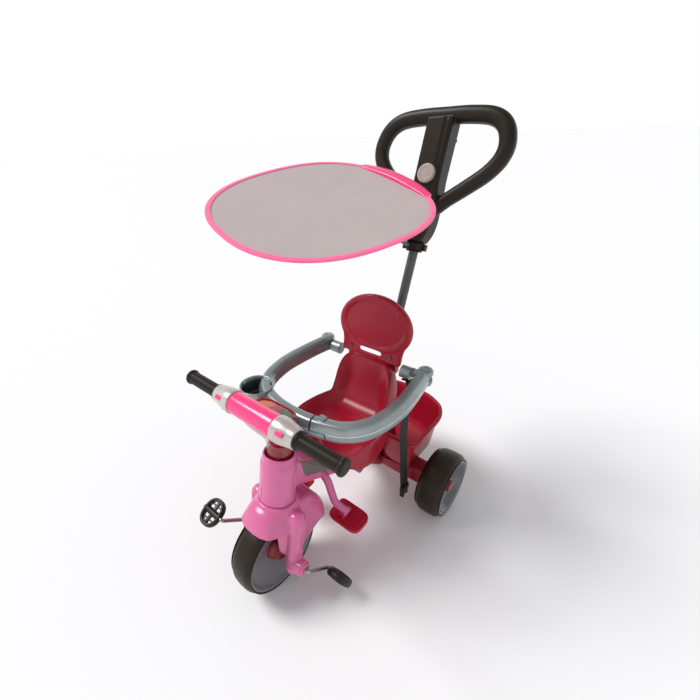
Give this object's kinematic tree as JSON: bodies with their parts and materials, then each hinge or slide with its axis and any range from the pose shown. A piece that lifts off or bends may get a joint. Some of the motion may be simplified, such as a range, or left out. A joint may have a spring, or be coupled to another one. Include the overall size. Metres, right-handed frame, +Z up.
{
  "type": "children's tricycle",
  "caption": "Push-along tricycle with moulded seat, swinging guard ring with cup holder, folding footrests, basket, telescopic push handle and tilting round sunshade.",
  "frame": {"origin": "centre of the footprint, on the floor the wheels stand on", "axes": "+Z up, +X to the rider's left, -Y forwards"},
  "size_m": [0.5061, 0.8181, 0.9935],
  "materials": {
    "tyre": "matt moulded",
    "rim": "grey moulded, slightly glossy",
    "crimson": "deep crimson moulded, satin",
    "steel": "zinc plated",
    "dark_plastic": "black-brown",
    "pink": "glossy moulded",
    "pink_metal": "glossy paint",
    "column": "clear crimson",
    "panel": "printed sticker",
    "hot_pink": "glossy moulded",
    "silver": "silver moulded",
    "grip": "ribbed",
    "brown": "satin",
    "purple": "satin",
    "tube": "satin dark grey",
    "screw": "plated",
    "guard": "silver-grey metallic",
    "handle": "black-brown gloss",
    "button": "warm grey",
    "binding": "bright pink tape",
    "canopy": "woven, warm grey",
    "webbing": "black webbing"
  },
  "bodies": {
    "frame": {"head_tube": "pink", "head_bushes": "dark_plastic", "main_beam": "pink", "beam_panels": "brown", "seat_bracket": "purple", "rear_frame": "crimson", "rear_axle": "steel", "axle_nuts": "steel", "seat": "crimson", "backrest": "crimson", "back_screws": "screw", "guard_brackets": "silver", "guard_pins": "steel", "guard_arm_r": "guard", "cup_holder": "guard", "footrest_tube": "pink_metal", "basket": "crimson", "push_tube": "tube", "strap": "webbing", "strap_buckle": "dark_plastic"},
    "steering": {"fork_l": "pink", "fork_r": "pink", "fork_caps": "pink", "steering_post": "steel", "stem": "column", "console": "column", "console_panel": "panel", "bar_tube": "steel", "bar_cover": "hot_pink", "bar_brackets": "silver", "bar_inserts": "pink", "grip_l": "grip", "grip_r": "grip"},
    "front_wheel": {"front_tyre": "tyre", "front_rim": "rim", "front_hubs": "crimson", "crank": "steel"},
    "pedal_left": {"pedal_l": "dark_plastic"},
    "pedal_right": {"pedal_r": "dark_plastic"},
    "rear_wheel_left": {"rear_tyre_l": "tyre", "rear_rim_l": "rim", "rear_cap_l": "crimson"},
    "rear_wheel_right": {"rear_tyre_r": "tyre", "rear_rim_r": "rim", "rear_cap_r": "crimson"},
    "guard_left": {"guard_arm_l": "guard"},
    "latch": {"guard_latch": "guard"},
    "push_handle": {"handle_front": "handle", "handle_rear": "handle", "handle_screws": "screw"},
    "release_button": {"handle_button": "button"},
    "canopy_stand": {"canopy_clamp": "handle", "canopy_arm": "steel"},
    "canopy": {"canopy_clip": "hot_pink", "canopy_fabric": "canopy", "canopy_binding": "binding", "canopy_hoop": "steel"},
    "footrest_left": {"footplate_l": "crimson"},
    "footrest_right": {"footplate_r": "crimson"}
  },
  "joints": [
    {"name": "steering", "type": "hinge", "parent": "frame", "child": "steering", "pos_m": [0, -0.29607, 0.113], "axis": [0, 0.1942, 0.981], "range_deg": [-25, 25]},
    {"name": "front_wheel_spin", "type": "hinge", "parent": "steering", "child": "front_wheel", "pos_m": [0, -0.29607, 0.113], "axis": [1, 0, 0], "continuous": true},
    {"name": "pedal_left_spin", "type": "hinge", "parent": "front_wheel", "child": "pedal_left", "pos_m": [0.15, -0.23465, 0.05867], "axis": [1, 0, 0], "continuous": true},
    {"name": "pedal_right_spin", "type": "hinge", "parent": "front_wheel", "child": "pedal_right", "pos_m": [-0.15, -0.35748, 0.16734], "axis": [1, 0, 0], "continuous": true},
    {"name": "rear_left_spin", "type": "hinge", "parent": "frame", "child": "rear_wheel_left", "pos_m": [0.217, 0.14393, 0.095], "axis": [1, 0, 0], "continuous": true},
    {"name": "rear_right_spin", "type": "hinge", "parent": "frame", "child": "rear_wheel_right", "pos_m": [-0.217, 0.14393, 0.095], "axis": [1, 0, 0], "continuous": true},
    {"name": "guard_left_swing", "type": "hinge", "parent": "frame", "child": "guard_left", "pos_m": [0.15, 0.10593, 0.447], "axis": [0, 0, 1], "range_deg": [0, 60]},
    {"name": "guard_latch_press", "type": "slide", "parent": "guard_left", "child": "latch", "axis": [0, 0.0175, -0.9998], "range_m": [0, 0.002], "stiffness_N_per_m": 400},
    {"name": "handle_slide", "type": "slide", "parent": "frame", "child": "push_handle", "axis": [0, 0.3387, 0.9409], "range_m": [-0.08, 0]},
    {"name": "handle_button_press", "type": "slide", "parent": "push_handle", "child": "release_button", "axis": [0, 0.9409, -0.3387], "range_m": [0, 0.003], "stiffness_N_per_m": 500},
    {"name": "canopy_swivel", "type": "hinge", "parent": "push_handle", "child": "canopy_stand", "pos_m": [0, 0.28861, 0.69184], "axis": [0, 0.3387, 0.9409], "range_deg": [-30, 30]},
    {"name": "canopy_tilt", "type": "hinge", "parent": "canopy_stand", "child": "canopy", "pos_m": [-0.00946, 0.20352, 0.84533], "axis": [-0.9487, 0.1944, 0.2492], "range_deg": [-10, 45]},
    {"name": "footrest_left_fold", "type": "hinge", "parent": "frame", "child": "footrest_left", "pos_m": [0.086, -0.12807, 0.134], "axis": [0, 1, 0], "range_deg": [-80, 0]},
    {"name": "footrest_right_fold", "type": "hinge", "parent": "frame", "child": "footrest_right", "pos_m": [-0.086, -0.12807, 0.134], "axis": [0, 1, 0], "range_deg": [0, 80]}
  ]
}
